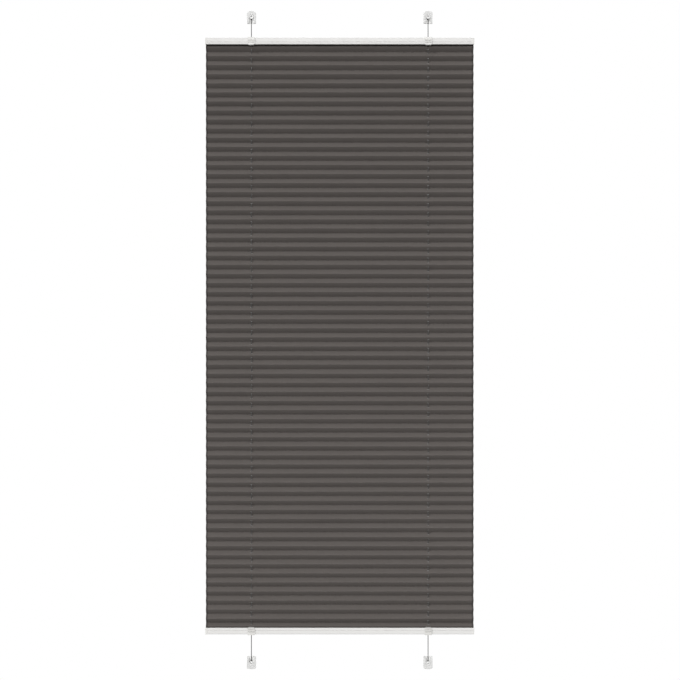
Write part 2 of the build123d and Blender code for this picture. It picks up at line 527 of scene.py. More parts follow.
@dataclass(frozen=True)
class PleatCloth(Finish):
    """Fine plain weave, with painted highlights along its creases and darker towards its cut edges."""

    roughness_spread: float = 0.08
    mottle_scale: float = 14.0
    mottle_spread: float = 0.015
    thread: float = 0.00032
    thread_depth: float = 0.00003
    thread_strength: float = 0.5
    under_share: float = 0.9
    slub_stretch: float = 0.05
    slub_scale: float = 900.0
    slub_detail: float = 3.0
    slub_low: float = 0.35
    slub_high: float = 0.65
    slub_share: float = 0.9
    crease_share: float = 1.1
    cut_start: float = 0.05
    cut_full: float = 0.2
    cut_share: float = 0.6
    cut_gloss: float = -0.2
    sheen: float = 0.04
    specular: float = 0.12

    def material(self, effects: Effects) -> Material:
        """Builds the cloth, whose threads follow the sheet's own UV map in metres.

        Args:
            effects: The shared node groups.

        Returns:
            The finished material.
        """
        material, sheet, shader = self.start()
        flat = sheet.give("ShaderNodeUVMap", uv_map="UVMap")
        counted = sheet.vector("MULTIPLY", flat, (1.0 / self.thread, 1.0 / self.thread, 0.0))
        weave = sheet.add("ShaderNodeGroup", {"Threads": counted}, node_tree=effects.threads).outputs
        edge = sheet.add("ShaderNodeAttribute", attribute_name="cut_edge").outputs["Fac"]
        threads = sheet.mixed(weave["Upper"], scaled(self.colour, self.under_share), self.colour)
        light = self.lightness(sheet, effects, flat, edge)
        cloth = sheet.vector("MULTIPLY", threads, sheet.triple(light, light, light))
        sheet.feed(shader.inputs["Base Color"], cloth)
        low, high = self.rough_limits
        rough = sheet.ranged(weave["Height"], high, low)
        smooth = sheet.math("MULTIPLY", edge, self.cut_gloss)
        sheet.feed(shader.inputs["Roughness"], sheet.math("ADD", rough, smooth))
        bump = {"Height": weave["Height"], "Distance": self.thread_depth, "Strength": self.thread_strength}
        sheet.feed(shader.inputs["Normal"], sheet.give("ShaderNodeBump", bump))
        shader.inputs["Sheen Weight"].default_value = self.sheen
        shader.inputs["Specular IOR Level"].default_value = self.specular
        return material

    def lightness(self, sheet: NodeSheet, effects: Effects, flat: Socket, edge: Socket) -> Socket:
        """How light the threads are: the yarn's unevenness, painted highlights on the creases and darker cut
        edges.

        Args:
            sheet: The sheet of the material's nodes.
            effects: The shared node groups.
            flat: The place in the flat sheet.
            edge: The mark of the cut edges.

        Returns:
            The lightness, about 1.
        """
        drawn = sheet.vector("MULTIPLY", flat, (self.slub_stretch, 1.0, 0.0))
        yarn = {"Vector": drawn, "Scale": self.slub_scale, "Detail": self.slub_detail}
        noise = sheet.give("ShaderNodeTexNoise", yarn)
        slub = sheet.ranged(noise, self.slub_share, 1.0, self.slub_low, self.slub_high)
        mottle = self.grained(sheet, effects, flat)["Mottle"]
        uneven = sheet.math("ADD", slub, sheet.ranged(mottle, -self.mottle_spread, self.mottle_spread))
        # Painted highlight: the cloth is made lighter along its folds, where the light catches them.
        crease = sheet.add("ShaderNodeAttribute", attribute_name="crease").outputs["Fac"]
        crease_lit = sheet.math("MULTIPLY", uneven, sheet.ranged(crease, 1.0, self.crease_share))
        # Darker towards the cut side edges and the hole rims.
        edge_darkened = sheet.ranged(edge, 1.0, self.cut_share, self.cut_start, self.cut_full)
        return sheet.math("MULTIPLY", crease_lit, edge_darkened)


@dataclass(frozen=True)
class BraidedCord(Finish):
    """Thin braid, whose strands wind both ways round the cord."""

    grain_scale: float = 5000.0
    grain_low: float = 0.3
    grain_high: float = 0.7
    mottle_scale: float = 120.0
    strands: float = 6.0
    strand_run: float = 0.0011
    strand_depth: float = 0.00006
    under_share: float = 0.7
    fade_share: float = 0.93
    sheen: float = 0.1

    def material(self, effects: Effects) -> Material:
        """Builds the braid, from a UV map with turns round the cord and metres along it.

        Args:
            effects: The shared node groups.

        Returns:
            The finished material.
        """
        material, sheet, shader = self.start()
        turns, metres = sheet.split(sheet.give("ShaderNodeUVMap", uv_map="UVMap"))[:2]
        round_it = sheet.math("MULTIPLY", turns, self.strands)
        along = sheet.math("MULTIPLY", metres, 1.0 / self.strand_run)
        wound = sheet.triple(sheet.math("ADD", round_it, along), sheet.math("SUBTRACT", round_it, along))
        braid = sheet.add("ShaderNodeGroup", {"Threads": wound}, node_tree=effects.threads)
        height = braid.outputs["Height"]
        grain = self.grained(sheet, effects, sheet.add("ShaderNodeTexCoord").outputs["Object"])
        # Painted shade: the braid is darker in the grooves between its strands; the mottle mixes in a faded
        # tone at random.
        fresh, faded = (
            sheet.mixed(height, scaled(colour, self.under_share), colour)
            for colour in (self.colour, scaled(self.colour, self.fade_share)))
        sheet.feed(shader.inputs["Base Color"], sheet.mixed(grain["Mottle"], fresh, faded))
        rough = sheet.ranged(grain["Height"], *self.rough_limits, self.grain_low, self.grain_high)
        sheet.feed(shader.inputs["Roughness"], rough)
        bump = sheet.give("ShaderNodeBump", {"Height": height, "Distance": self.strand_depth})
        sheet.feed(shader.inputs["Normal"], bump)
        shader.inputs["Sheen Weight"].default_value = self.sheen
        return material


class Palette:
    """All finishes of the blind."""

    def __init__(self) -> None:
        """Builds every material once."""
        effects = Effects()
        milky = {"shade_share": 0.975, "milkiness": 0.5}
        rail = PowderCoat("rail_powder_coat", tone(218, 217, 215), 0.4)
        cap = MouldedPlastic("cap_plastic", tone(221, 220, 217), 0.45)
        strip = MouldedPlastic("strip_plastic", tone(176, 174, 170), 0.4)
        guide = MouldedPlastic("guide_nylon", tone(206, 205, 202), 0.42, milkiness=0.1)
        clip = ClipPlastic("milky_clip_plastic", tone(214, 213, 210), 0.32, milkiness=0.15)
        shoe = ShoePlastic("milky_shoe_plastic", tone(215, 215, 214), 0.42, **milky)
        pin = MouldedPlastic("milky_pin_plastic", tone(226, 226, 225), 0.42, **milky)
        cloth = PleatCloth("pleat_cloth", tone(102, 97, 94), 0.82)
        cord = BraidedCord("cord_braid", tone(70, 69, 68), 0.7)
        self.rail = rail.material(effects)
        self.cap = cap.material(effects)
        self.strip = strip.material(effects)
        self.guide = guide.material(effects)
        self.clip = clip.material(effects)
        self.shoe = shoe.material(effects)
        self.pin = pin.material(effects)
        self.cloth = cloth.material(effects)
        self.cord = cord.material(effects)


def dress(node: str, material: Material) -> None:
    """Gives a CAD node its finish.

    Args:
        node: The CAD node's name.
        material: The finish for all of its slots.
    """
    mesh = frame["nodes"][node].data
    if not mesh.materials:
        mesh.materials.append(material)
    for index in range(len(mesh.materials)):
        mesh.materials[index] = material
    LOG.info("%s: %s", node, material.name)


def run_nodes(name: str, base: bpy.types.ID, tree: Tree, values: dict[str, Any]) -> Piece:
    """Runs a Geometry Nodes tree once and keeps its result as a plain mesh.

    Args:
        name: The finished piece's name.
        base: The mesh or curve that the tree starts from.
        tree: The tree.
        values: Its inputs by name.

    Returns:
        The finished piece, at the origin and with no modifiers.
    """
    maker = bpy.data.objects.new(f"{name}_maker", base)
    bpy.context.scene.collection.objects.link(maker)
    modifier = maker.modifiers.new(tree.name, "NODES")
    modifier.node_group = tree
    for item in tree.interface.items_tree:
        if item.item_type == "SOCKET" and item.in_out == "INPUT" and item.name in values:
            modifier[item.identifier] = values[item.name]
    depsgraph = bpy.context.evaluated_depsgraph_get()
    mesh = bpy.data.meshes.new_from_object(
        maker.evaluated_get(depsgraph), preserve_all_data_layers=True, depsgraph=depsgraph)
    mesh.name = name
    bpy.data.objects.remove(maker)
    piece = bpy.data.objects.new(name, mesh)
    bpy.context.scene.collection.objects.link(piece)
    return piece


def finish_mesh(mesh: Mesh, sharp_turn: float, spent: Iterable[str]) -> None:
    """Smooths a mesh and takes off the attributes that only its making needed.

    Args:
        mesh: The mesh.
        sharp_turn: The angle in degrees from which an edge stays sharp.
        spent: Names of the attributes that are no longer needed.
    """
    mesh.shade_smooth()
    mesh.set_sharp_from_angle(angle=math.radians(sharp_turn))
    for name in spent:
        if name in mesh.attributes:
            mesh.attributes.remove(mesh.attributes[name])


def run_length(line: Sequence[Sequence[float]]) -> float:
    """Length of a line through the given points."""
    return sum(math.dist(before, after) for before, after in zip(line, line[1:]))


@dataclass
class Row:
    """A line of points across the fabric: its middle, its half thickness and its place in the flat sheet."""

    middle: Vector
    offset: Vector
    along: float
    crease: float
    starts_hole: bool = False


class ClothDraft:
    """Points and faces of a strip of cloth while it is drawn, with the marks of each point."""

    def __init__(self) -> None:
        """Starts with nothing drawn."""
        self.places: list[Point3] = []
        self.flats: list[Point2] = []
        self.faces: list[tuple[int, ...]] = []
        self.marks: dict[str, list[float]] = {"crease": [], "cut_edge": [], "mid": []}

    def point(self, x: float, row: Row, sign: int, cut: float) -> int:
        """Adds one point of a row.

        Args:
            x: Its place across the blind.
            row: The row that it belongs to.
            sign: 1 for the front of the cloth and -1 for the back.
            cut: 1 on a cut edge and 0 elsewhere.

        Returns:
            The point's number.
        """
        spot = row.middle + row.offset * sign
        self.places.append((x, spot.x, spot.y))
        self.flats.append((x, row.along))
        for key, value in (("crease", row.crease), ("cut_edge", cut), ("mid", row.middle.y)):
            self.marks[key].append(value)
        return len(self.places) - 1

    def face(self, corners: Sequence[int], sign: int) -> None:
        """Adds one face of the front or, turned round, of the back."""
        self.faces.append(tuple(corners) if sign > 0 else tuple(reversed(corners)))

    def mesh(self, name: str) -> Mesh:
        """Turns the drawing into a mesh.

        Args:
            name: The mesh's name.

        Returns:
            The mesh, with its UV map and the attributes crease, cut_edge and mid.
        """
        mesh = bpy.data.meshes.new(name)
        mesh.from_pydata(self.places, [], self.faces)
        uv = mesh.uv_layers.new(name="UVMap")
        for loop in mesh.loops:
            uv.data[loop.index].uv = self.flats[loop.vertex_index]
        for key, values in self.marks.items():
            mesh.attributes.new(key, "FLOAT", "POINT").data.foreach_set("value", values)
        return mesh


@dataclass
class PleatedFabric:
    """The sheet of pleated cloth between the two rails."""

    width: float = 0.4982
    thickness: float = 0.0003
    folds: int = 64
    depth: float = 0.010
    first_fold: float = 0.5453
    last_even_fold: float = -0.5183
    last_fold: float = -0.5325
    flange_front: float = -0.0151
    flange_back: float = -0.0049
    bottom_flange_front: float = -0.0125
    flange_top: float = 0.55045
    flange_bottom: float = -0.53585
    hole: float = 0.002
    hole_rim: float = 0.0003
    hole_points: int = 12
    cell: float = 0.0018
    crease_width: float = 0.0006
    crease_round: float = 0.00014
    least_turn: float = 0.1
    cut_band: float = 0.004
    column_step: float = 0.024
    unevenness: float = 0.0002
    unevenness_scale: Point3 = (7.0, 0.0, 45.0)
    unevenness_detail: float = 2.0
    unevenness_rise: float = 40.0
    seed: float = 7.0
    merge: float = 0.00001
    sharp_turn: float = 28.0

    @property
    def half_pitch(self) -> float:
        """Height of one facet."""
        return (self.first_fold - self.last_even_fold) / (self.folds - 1) / 2

    @property
    def facet(self) -> float:
        """Length of one facet along the cloth."""
        return math.hypot(self.depth, self.half_pitch)

    @property
    def front(self) -> float:
        """Depth of the front folds."""
        return CORD_Y - self.depth / 2

    @property
    def back(self) -> float:
        """Depth of the back folds."""
        return CORD_Y + self.depth / 2

    @property
    def top_line(self) -> tuple[Point2, ...]:
        """Depth and height of the folds from the glued top end down to the first front fold."""
        glued = (self.flange_front, self.flange_top), (self.flange_back, self.flange_top)
        return *glued, (self.front, self.first_fold)

    @property
    def bottom_line(self) -> tuple[Point2, ...]:
        """Depth and height of the folds from the last even front fold down to the glued bottom end.

        Returns:
            The folds in order.
        """
        low_back = self.last_even_fold - self.half_pitch
        folds = (self.front, self.last_even_fold), (self.back, low_back), (self.front, self.last_fold)
        glued = (self.bottom_flange_front, self.flange_bottom), (self.flange_back, self.flange_bottom)
        return *folds, *glued

    @property
    def flat_length(self) -> float:
        """Length of the sheet before it was pleated."""
        ends = run_length(self.top_line) + run_length(self.bottom_line)
        return ends + 2 * (self.folds - 1) * self.facet

    def columns(self) -> list[float]:
        """Places across the width where the facets are divided.

        Returns:
            The places from left to right, with the cells of the cord holes between two of them.
        """
        edge = self.width / 2
        stops = [-edge, -edge + self.cut_band]
        for hole in (-CORD_X, CORD_X):
            stops += [hole - self.cell, hole + self.cell]
        stops += [edge - self.cut_band, edge]
        places = [stops[0]]
        for before, after in zip(stops, stops[1:]):
            steps = max(1, round((after - before) / self.column_step))
            places += [before + (after - before) * step / steps for step in range(1, steps + 1)]
        return places

    def rows(self, line: Sequence[Point2], before: Point2, after: Point2, along: float) -> list[Row]:
        """Rows of points down a folded line, with soft creases at its folds.

        Args:
            line: Depth and height of the line's folds.
            before: The fold before the first one, or a point in line with the first run.
            after: The fold after the last one, or a point in line with the last run.
            along: Where the line starts in the flat sheet.

        Returns:
            The rows from the line's start to its end.
        """
        points = [Vector(point) for point in (before, *line, after)]
        runs = [(b - a).normalized() for a, b in zip(points, points[1:])]
        normals = [Vector((-run.y, run.x)) for run in runs]
        half = self.thickness / 2
        found = []
        for index in range(1, len(points) - 1):
            mitre = normals[index - 1] + normals[index]
            mitre = mitre * (half / (1 + normals[index - 1].dot(normals[index])))
            inward = runs[index] - runs[index - 1]
            turns = inward.length > self.least_turn
            pull = inward.normalized() * self.crease_round if turns else Vector((0.0, 0.0))
            found.append(Row(points[index] + pull, mitre, along, 1.0))
            if index < len(points) - 2:
                start, run, normal = points[index], runs[index], normals[index]
                length = (points[index + 1] - start).length
                middle = (CORD_Y - start.x) / run.x
                reach = self.cell + self.crease_width
                crossed = reach < middle < length - reach
                cell = (middle - self.cell, middle + self.cell) if crossed else (length / 3, 2 * length / 3)
                for step in (self.crease_width, *cell, length - self.crease_width):
                    starts_hole = crossed and step == cell[0]
                    found.append(Row(start + run * step, normal * half, along + step, 0.0, starts_hole))
                along += length
        return found

    def strip_mesh(self, name: str, rows: Sequence[Row], closed: Sequence[int] = ()) -> Mesh:
        """A strip of cloth with two sides, a rim at its side edges and a hole in each facet for each cord.

        Args:
            name: The mesh's name.
            rows: The rows of points down the strip.
            closed: Rows where the strip ends and gets a rim.

        Returns:
            The strip's mesh.
        """
        xs = self.columns()
        cuts = [float(abs(x) > self.width / 2 - NEAR) for x in xs]
        draft = ClothDraft()
        sides = [
            [[draft.point(x, row, sign, cut) for x, cut in zip(xs, cuts)] for row in rows]
            for sign in (1, -1)]
        hole_columns = {
            min(range(len(xs)), key=lambda i: abs(xs[i] - (hole - self.cell))): hole
            for hole in (-CORD_X, CORD_X)}
        for r in range(len(rows) - 1):
            for c in range(len(xs) - 1):
                rings = []
                for sign, side in zip((1, -1), sides):
                    corners = (side[r][c], side[r][c + 1], side[r + 1][c + 1], side[r + 1][c])
                    if rows[r].starts_hole and c in hole_columns:
                        rings.append(self.punched(draft, corners, rows[r:r + 2], hole_columns[c], sign))
                    else:
                        draft.face(corners, sign)
                if rings:
                    front, back = rings
                    for i in range(len(front)):
                        j = (i + 1) % len(front)
                        draft.face((front[i], front[j], back[j], back[i]), -1)
            for c, sign in ((0, -1), (len(xs) - 1, 1)):
                draft.face((sides[0][r][c], sides[1][r][c], sides[1][r + 1][c], sides[0][r + 1][c]), sign)
        for r in closed:
            front, back = sides[0][r], sides[1][r]
            for c in range(len(xs) - 1):
                draft.face((front[c], front[c + 1], back[c + 1], back[c]), -1 if r == 0 else 1)
        return draft.mesh(name)

    def punched(self, draft: ClothDraft, corners: Sequence[int], rows: Sequence[Row], hole_x: float,
                sign: int) -> list[int]:
        """Fills one cell of a facet round a punched hole.

        Args:
            draft: The drawing of the strip.
            corners: The cell's four corners, round the cell.
            rows: The rows at the cell's start and end.
            hole_x: The hole's middle along X.
            sign: 1 for the front of the cloth and -1 for the back.

        Returns:
            The points round the hole.
        """
        low, high = rows
        middle, run = (low.middle + high.middle) / 2, (high.middle - low.middle).normalized()
        along = (low.along + high.along) / 2
        stretch = 1 / abs(run.x)
        count = self.hole_points
        rings = []
        for grown, cut in ((0.0, 1.0), (self.hole_rim, 0.0)):
            ring = []
            for step in range(count):
                turn = 2 * math.pi * (step + 0.5) / count
                x = hole_x + (self.hole / 2 + grown) * math.cos(turn)
                down = (self.hole / 2 * stretch + grown) * math.sin(turn)
                row = Row(middle + run * down, low.offset, along + down, 0.0)
                ring.append(draft.point(x, row, sign, cut))
            rings.append(ring)
        inner, outer = rings
        for i in range(count):
            j = (i + 1) % count
            draft.face((inner[i], outer[i], outer[j], inner[j]), sign)
        quarter = count // 4
        turned = (corners[2], corners[3], corners[0], corners[1])
        for q, corner in enumerate(turned):
            ring = [outer[(q * quarter + i) % count] for i in range(quarter + 1)]
            for first, second in zip(ring, ring[1:]):
                draft.face((corner, second, first), sign)
            draft.face((corner, turned[(q + 1) % 4], ring[-1]), sign)
        return inner

    def pleat_mesh(self) -> Mesh:
        """One pleat, from a front fold at height 0 over a back fold to the next front fold.

        Returns:
            The pleat's mesh.
        """
        half = self.half_pitch
        line = ((self.front, 0.0), (self.back, -half), (self.front, -2 * half))
        rows = self.rows(line, (self.back, half), (self.back, -3 * half), run_length(self.top_line))
        return self.strip_mesh("pleat", rows)

    def end_mesh(self, end: End) -> Mesh:
        """The glued end of the cloth and the facets between it and the nearest front fold.

        Args:
            end: Which end of the blind it is.

        Returns:
            The end's mesh.
        """
        half = self.half_pitch
        if end is End.TOP:
            before, after = (self.flange_front - FAR, self.flange_top), (self.back, self.first_fold - half)
            rows = self.rows(self.top_line, before, after, 0.0)
            rows[-1] = self.regular_fold(rows[-1])
            return self.strip_mesh("top_end", rows, (0,))
        before, after = (self.back, self.last_even_fold + half), (self.flange_back + FAR, self.flange_bottom)
        rows = self.rows(self.bottom_line, before, after, self.flat_length - run_length(self.bottom_line))
        return self.strip_mesh("bottom_end", rows, (len(rows) - 1,))

    def regular_fold(self, row: Row) -> Row:
        """The row of the first front fold, as it would be between two facets of the same slope.

        Args:
            row: The row that it stands for.

        Returns:
            The row, thickened as the pleats' own folds are.
        """
        fold = (self.front, self.first_fold)
        before, after = ((self.back, self.first_fold + way * self.half_pitch) for way in (1, -1))
        return self.rows((fold,), before, after, row.along)[0]

    def node_tree(self) -> Tree:
        """Tree that repeats one pleat down the blind, adds the glued ends and makes the folds uneven.

        Returns:
            The Geometry Nodes tree.
        """
        sheet, takes, gives = new_tree(
            "pleats", "GeometryNodeTree",
            {"Pleat": Kind.GEOMETRY, "Top End": Kind.OBJECT, "Bottom End": Kind.OBJECT, "Pleats": Kind.COUNT,
             **numbers("First Fold", "Pitch", "Pleat Length", "Unevenness", "Seed"),
             **numbers("Free Top", "Free Bottom"), "Cloth": Kind.MATERIAL},
            {"Fabric": Kind.GEOMETRY})
        place = sheet.give("GeometryNodeInputPosition")
        start = sheet.triple(z=takes["First Fold"])
        step = sheet.triple(z=sheet.math("MULTIPLY", takes["Pitch"], -1.0))
        spots = {"Count": takes["Pleats"], "Start Location": start, "Offset": step}
        line = sheet.give("GeometryNodeMeshLine", spots, mode="OFFSET")
        pleats = sheet.give("GeometryNodeInstanceOnPoints", {"Points": line, "Instance": takes["Pleat"]})
        numbered = sheet.keep(pleats, "row", sheet.give("GeometryNodeInputIndex"), "INSTANCE")
        hung = sheet.keep(numbered, "row_height", sheet.split(place)[2], "INSTANCE")
        ends = []
        for name in ("Bottom End", "Top End"):
            info = sheet.add("GeometryNodeObjectInfo", {"Object": takes[name]}, transform_space="ORIGINAL")
            ends.append(info.outputs["Geometry"])
        real = sheet.give("GeometryNodeRealizeInstances", {0: sheet.joined(*ends, hung)})
        shift = sheet.triple(y=sheet.math("MULTIPLY", sheet.kept("row"), takes["Pleat Length"]))
        lying = sheet.vector("ADD", sheet.kept("UVMap", "FLOAT_VECTOR"), shift)
        flat = sheet.keep(real, "UVMap", lying, "CORNER", "FLOAT2")
        height = sheet.math("ADD", sheet.kept("mid"), sheet.kept("row_height"))
        hanging = sheet.keep(flat, "hang", height, "POINT")
        merged = sheet.give("GeometryNodeMergeByDistance", {"Geometry": hanging, "Distance": self.merge})
        stretched = sheet.vector("MULTIPLY", place, self.unevenness_scale)
        wavy = {"Vector": stretched, "W": takes["Seed"], "Scale": 1.0, "Detail": self.unevenness_detail}
        noise = sheet.add("ShaderNodeTexNoise", wavy, noise_dimensions="4D").outputs["Color"]
        centred = sheet.vector("SUBTRACT", noise, (0.5, 0.5, 0.5))
        below = sheet.math("SUBTRACT", takes["Free Top"], sheet.kept("hang"))
        above = sheet.math("SUBTRACT", sheet.kept("hang"), takes["Free Bottom"])
        free = sheet.math("MULTIPLY", sheet.math("MINIMUM", below, above), self.unevenness_rise)
        loose = sheet.math("MULTIPLY", sheet.give("ShaderNodeClamp", {0: free}), takes["Unevenness"])
        offset = sheet.vector("MULTIPLY", centred, sheet.triple(y=loose, z=loose))
        moved = sheet.give("GeometryNodeSetPosition", {"Geometry": merged, "Offset": offset})
        dressed = sheet.give("GeometryNodeSetMaterial", {"Geometry": moved, "Material": takes["Cloth"]})
        sheet.feed(gives["Fabric"], dressed)
        return sheet.tree

    def build(self, palette: Palette) -> None:
        """Builds the cloth and lets it follow both rails.

        Args:
            palette: The blind's finishes.
        """
        ends = []
        for end in End:
            holder = bpy.data.objects.new(f"{end.value}_end_maker", self.end_mesh(end))
            bpy.context.scene.collection.objects.link(holder)
            ends.append(holder)
        fabric = run_nodes("fabric", self.pleat_mesh(), self.node_tree(), {
            "Top End": ends[0], "Bottom End": ends[1], "Pleats": self.folds - 1,
            "First Fold": self.first_fold, "Pitch": 2 * self.half_pitch, "Pleat Length": 2 * self.facet,
            "Unevenness": self.unevenness, "Seed": self.seed, "Free Top": self.first_fold,
            "Free Bottom": self.last_fold, "Cloth": palette.cloth})
        for holder in ends:
            bpy.data.objects.remove(holder)
        self.hang_on_rails(fabric)
        finish_mesh(fabric.data, self.sharp_turn, ("mid", "row", "row_height", "hang"))
        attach(fabric, Body.TOP.value)
        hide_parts("pleated_fabric")
        LOG.info("%s: %d faces, sheet of %.4f by %.4f", fabric.name, len(fabric.data.polygons), self.width,
                 self.flat_length)

    def hang_on_rails(self, fabric: Piece) -> None:
        """Shares the cloth between the rails, so that the pleats close evenly when either rail slides.

        Args:
            fabric: The cloth, which rides on the top rail and is hooked to the bottom rail.
        """
        heights = np.zeros(len(fabric.data.vertices), np.float32)
        fabric.data.attributes["hang"].data.foreach_get("value", heights)
        shares = np.clip((self.flange_top - heights) / (self.flange_top - self.flange_bottom), 0.0, 1.0)
        group = fabric.vertex_groups.new(name="on_bottom_rail")
        for number, share in enumerate(shares.tolist()):
            group.add((number,), share, "REPLACE")
        hook = fabric.modifiers.new("on_bottom_rail", "HOOK")
        hook.object = frame["bodies"][Body.BOTTOM.value]
        hook.vertex_group = group.name
        hook.falloff_type = "NONE"
        hook.strength = 1.0
        hook.matrix_inverse = Matrix.Identity(4)


@dataclass
class TensionCord:
    """One taut cord from pin to pin, with a tied loop round each pin."""

    side: Side
    pin_z: float = 0.6019
    diameter: float = 0.0014
    loop: float = 0.00285
    loop_side_shares: tuple[Point2, ...] = ((0.553, -0.956), (1.087, -0.189), (0.844, 0.709))
    loop_top_shares: Point2 = (0.0, 1.102)
    knot_drop: float = 0.0049
    knot_reach: float = 0.0018
    knot_turns: float = 3.0
    knot_radius: float = 0.0008
    knot_strand: float = 0.00052
    knot_height: float = 0.0018
    knot_points: int = 14
    round_points: int = 12
    line_points: int = 8
    line_order: int = 3
    merge: float = 0.000002
    sharp_turn: float = 50.0

    def spot(self, across: float, up: float) -> Point3:
        """A point in the cord's own plane, by its distance from the cord's line and its height."""
        return (self.side.value * CORD_X + across, CORD_Y, up)

    def route(self) -> list[Point3]:
        """Control points of the cord's line, from the upper knot round both pins to the lower knot.

        Returns:
            The points in order.
        """
        back = [(-across, up) for across, up in reversed(self.loop_side_shares)]
        turned = (*self.loop_side_shares, self.loop_top_shares, *back)
        around = [(across * self.loop, up * self.loop) for across, up in turned]
        looped = [(0.0, -self.knot_drop), *around, (0.0, -self.knot_drop)]
        upper = [self.spot(across, self.pin_z + up) for across, up in looped]
        lower = [self.spot(across, -self.pin_z - up) for across, up in looped]
        straight = self.pin_z - self.knot_drop - self.knot_reach
        return [*upper, self.spot(0.0, straight), self.spot(0.0, -straight), *lower]

    def line(self) -> bpy.types.Curve:
        """The cord's line as one smooth open spline.

        Returns:
            The curve.
        """
        curve = bpy.data.curves.new(f"{self.side.word}_line", "CURVE")
        curve.dimensions = "3D"
        curve.resolution_u = self.line_points
        spline = curve.splines.new("NURBS")
        points = self.route()
        spline.points.add(len(points) - 1)
        for spot, place in zip(spline.points, points):
            spot.co = (*place, 1.0)
        spline.order_u = self.line_order
        spline.use_endpoint_u = True
        return curve

    def swept(self, sheet: NodeSheet, line: Socket, radius: Socket, sides: Socket) -> Socket:
        """Makes a round tube along a line, with a UV map of turns round it and metres along it.

        Args:
            sheet: The sheet of the tree's nodes.
            line: The line.
            radius: The tube's radius.
            sides: The number of points round it.

        Returns:
            The tube.
        """
        parameter = sheet.add("GeometryNodeSplineParameter").outputs
        track = sheet.keep(line, "along", parameter["Length"], "POINT")
        arc = {"Resolution": sheet.math("ADD", sides, 1.0), "Radius": radius, "Sweep Angle": 2 * math.pi}
        ring = sheet.keep(sheet.give("GeometryNodeCurveArc", arc), "around", parameter["Factor"], "POINT")
        curves = {"Curve": track, "Profile Curve": ring, "Fill Caps": True}
        tube = sheet.give("GeometryNodeCurveToMesh", curves)
        turns = sheet.triple(sheet.kept("around"), sheet.kept("along"))
        flat = sheet.keep(tube, "UVMap", turns, "CORNER", "FLOAT2")
        return sheet.give("GeometryNodeMergeByDistance", {"Geometry": flat, "Distance": self.merge})

    def node_tree(self) -> Tree:
        """Tree that makes a round cord along a line and winds a knot at both of its ends.

        Returns:
            The Geometry Nodes tree.
        """
        ends = ("Lower Knot", "Upper Knot")
        sheet, takes, gives = new_tree(
            f"{self.side.word}_cord_and_knots", "GeometryNodeTree",
            {"Line": Kind.GEOMETRY, "Sides": Kind.COUNT,
             **numbers("Radius", "Knot Turns", "Knot Radius", "Knot Strand", "Knot Height"),
             **dict.fromkeys(ends, Kind.VECTOR), "Braid": Kind.MATERIAL},
            {"Cord": Kind.GEOMETRY})
        wound = {"Resolution": self.knot_points, "Rotations": takes["Knot Turns"],
                 "Start Radius": takes["Knot Radius"], "End Radius": takes["Knot Radius"],
                 "Height": takes["Knot Height"]}
        spiral = sheet.give("GeometryNodeCurveSpiral", wound)
        knot = self.swept(sheet, spiral, takes["Knot Strand"], takes["Sides"])
        middle = sheet.triple(z=sheet.math("MULTIPLY", takes["Knot Height"], -0.5))
        centred = sheet.give("GeometryNodeTransform", {"Geometry": knot, "Translation": middle})
        spots = [sheet.give("GeometryNodePoints", {"Count": 1, "Position": takes[name]}) for name in ends]
        placed = {"Points": sheet.joined(*spots), "Instance": centred}
        knots = sheet.give("GeometryNodeInstanceOnPoints", placed)
        cord = self.swept(sheet, takes["Line"], takes["Radius"], takes["Sides"])
        real = sheet.give("GeometryNodeRealizeInstances", {0: sheet.joined(knots, cord)})
        dressed = sheet.give("GeometryNodeSetMaterial", {"Geometry": real, "Material": takes["Braid"]})
        sheet.feed(gives["Cord"], dressed)
        return sheet.tree

    def build(self, palette: Palette) -> None:
        """Builds the cord in place.

        Args:
            palette: The blind's finishes.
        """
        knot_z = self.pin_z - self.knot_drop
        curve = self.line()
        bare = bpy.data.objects.new(f"{self.side.word}_bare_line", curve)
        track = bpy.data.meshes.new_from_object(bare)
        bpy.data.meshes.remove(track)
        bpy.data.objects.remove(bare)
        cord = run_nodes(f"{self.side.word}_braided_cord", curve, self.node_tree(), {
            "Radius": self.diameter / 2, "Sides": self.round_points, "Knot Turns": self.knot_turns,
            "Knot Radius": self.knot_radius, "Knot Strand": self.knot_strand,
            "Knot Height": self.knot_height, "Upper Knot": self.spot(0.0, knot_z),
            "Lower Knot": self.spot(0.0, -knot_z), "Braid": palette.cord})
        finish_mesh(cord.data, self.sharp_turn, ("along", "around"))
        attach(cord, Body.CORDS.value)
        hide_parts(f"{self.side.word}_cord")


@dataclass
class RailAssembly:
    """One rail with its strip, end caps, cord guides and grip clips, all CAD nodes."""

    end: End

    def build(self, palette: Palette) -> None:
        """Dresses the rail's pieces.

        Args:
            palette: The blind's finishes.
        """
        dress(f"{self.end.value}_rail", palette.rail)
        dress(f"{self.end.value}_fabric_strip", palette.strip)
        for side in Side:
            name = f"{self.end.value}_{side.word}"
            dress(f"{name}_end_cap", palette.cap)
            dress(f"{name}_cord_guide", palette.guide)
            dress(f"{name}_grip_clip", palette.clip)


@dataclass
class ShoePair:
    """The two tension shoes of one end, with their cord pins, all CAD nodes."""

    end: End

    def build(self, palette: Palette) -> None:
        """Dresses the shoes and pins.

        Args:
            palette: The blind's finishes.
        """
        for side in Side:
            name = f"{self.end.value}_{side.word}"
            dress(f"{name}_tension_shoe", palette.shoe)
            dress(f"{name}_cord_pin", palette.pin)


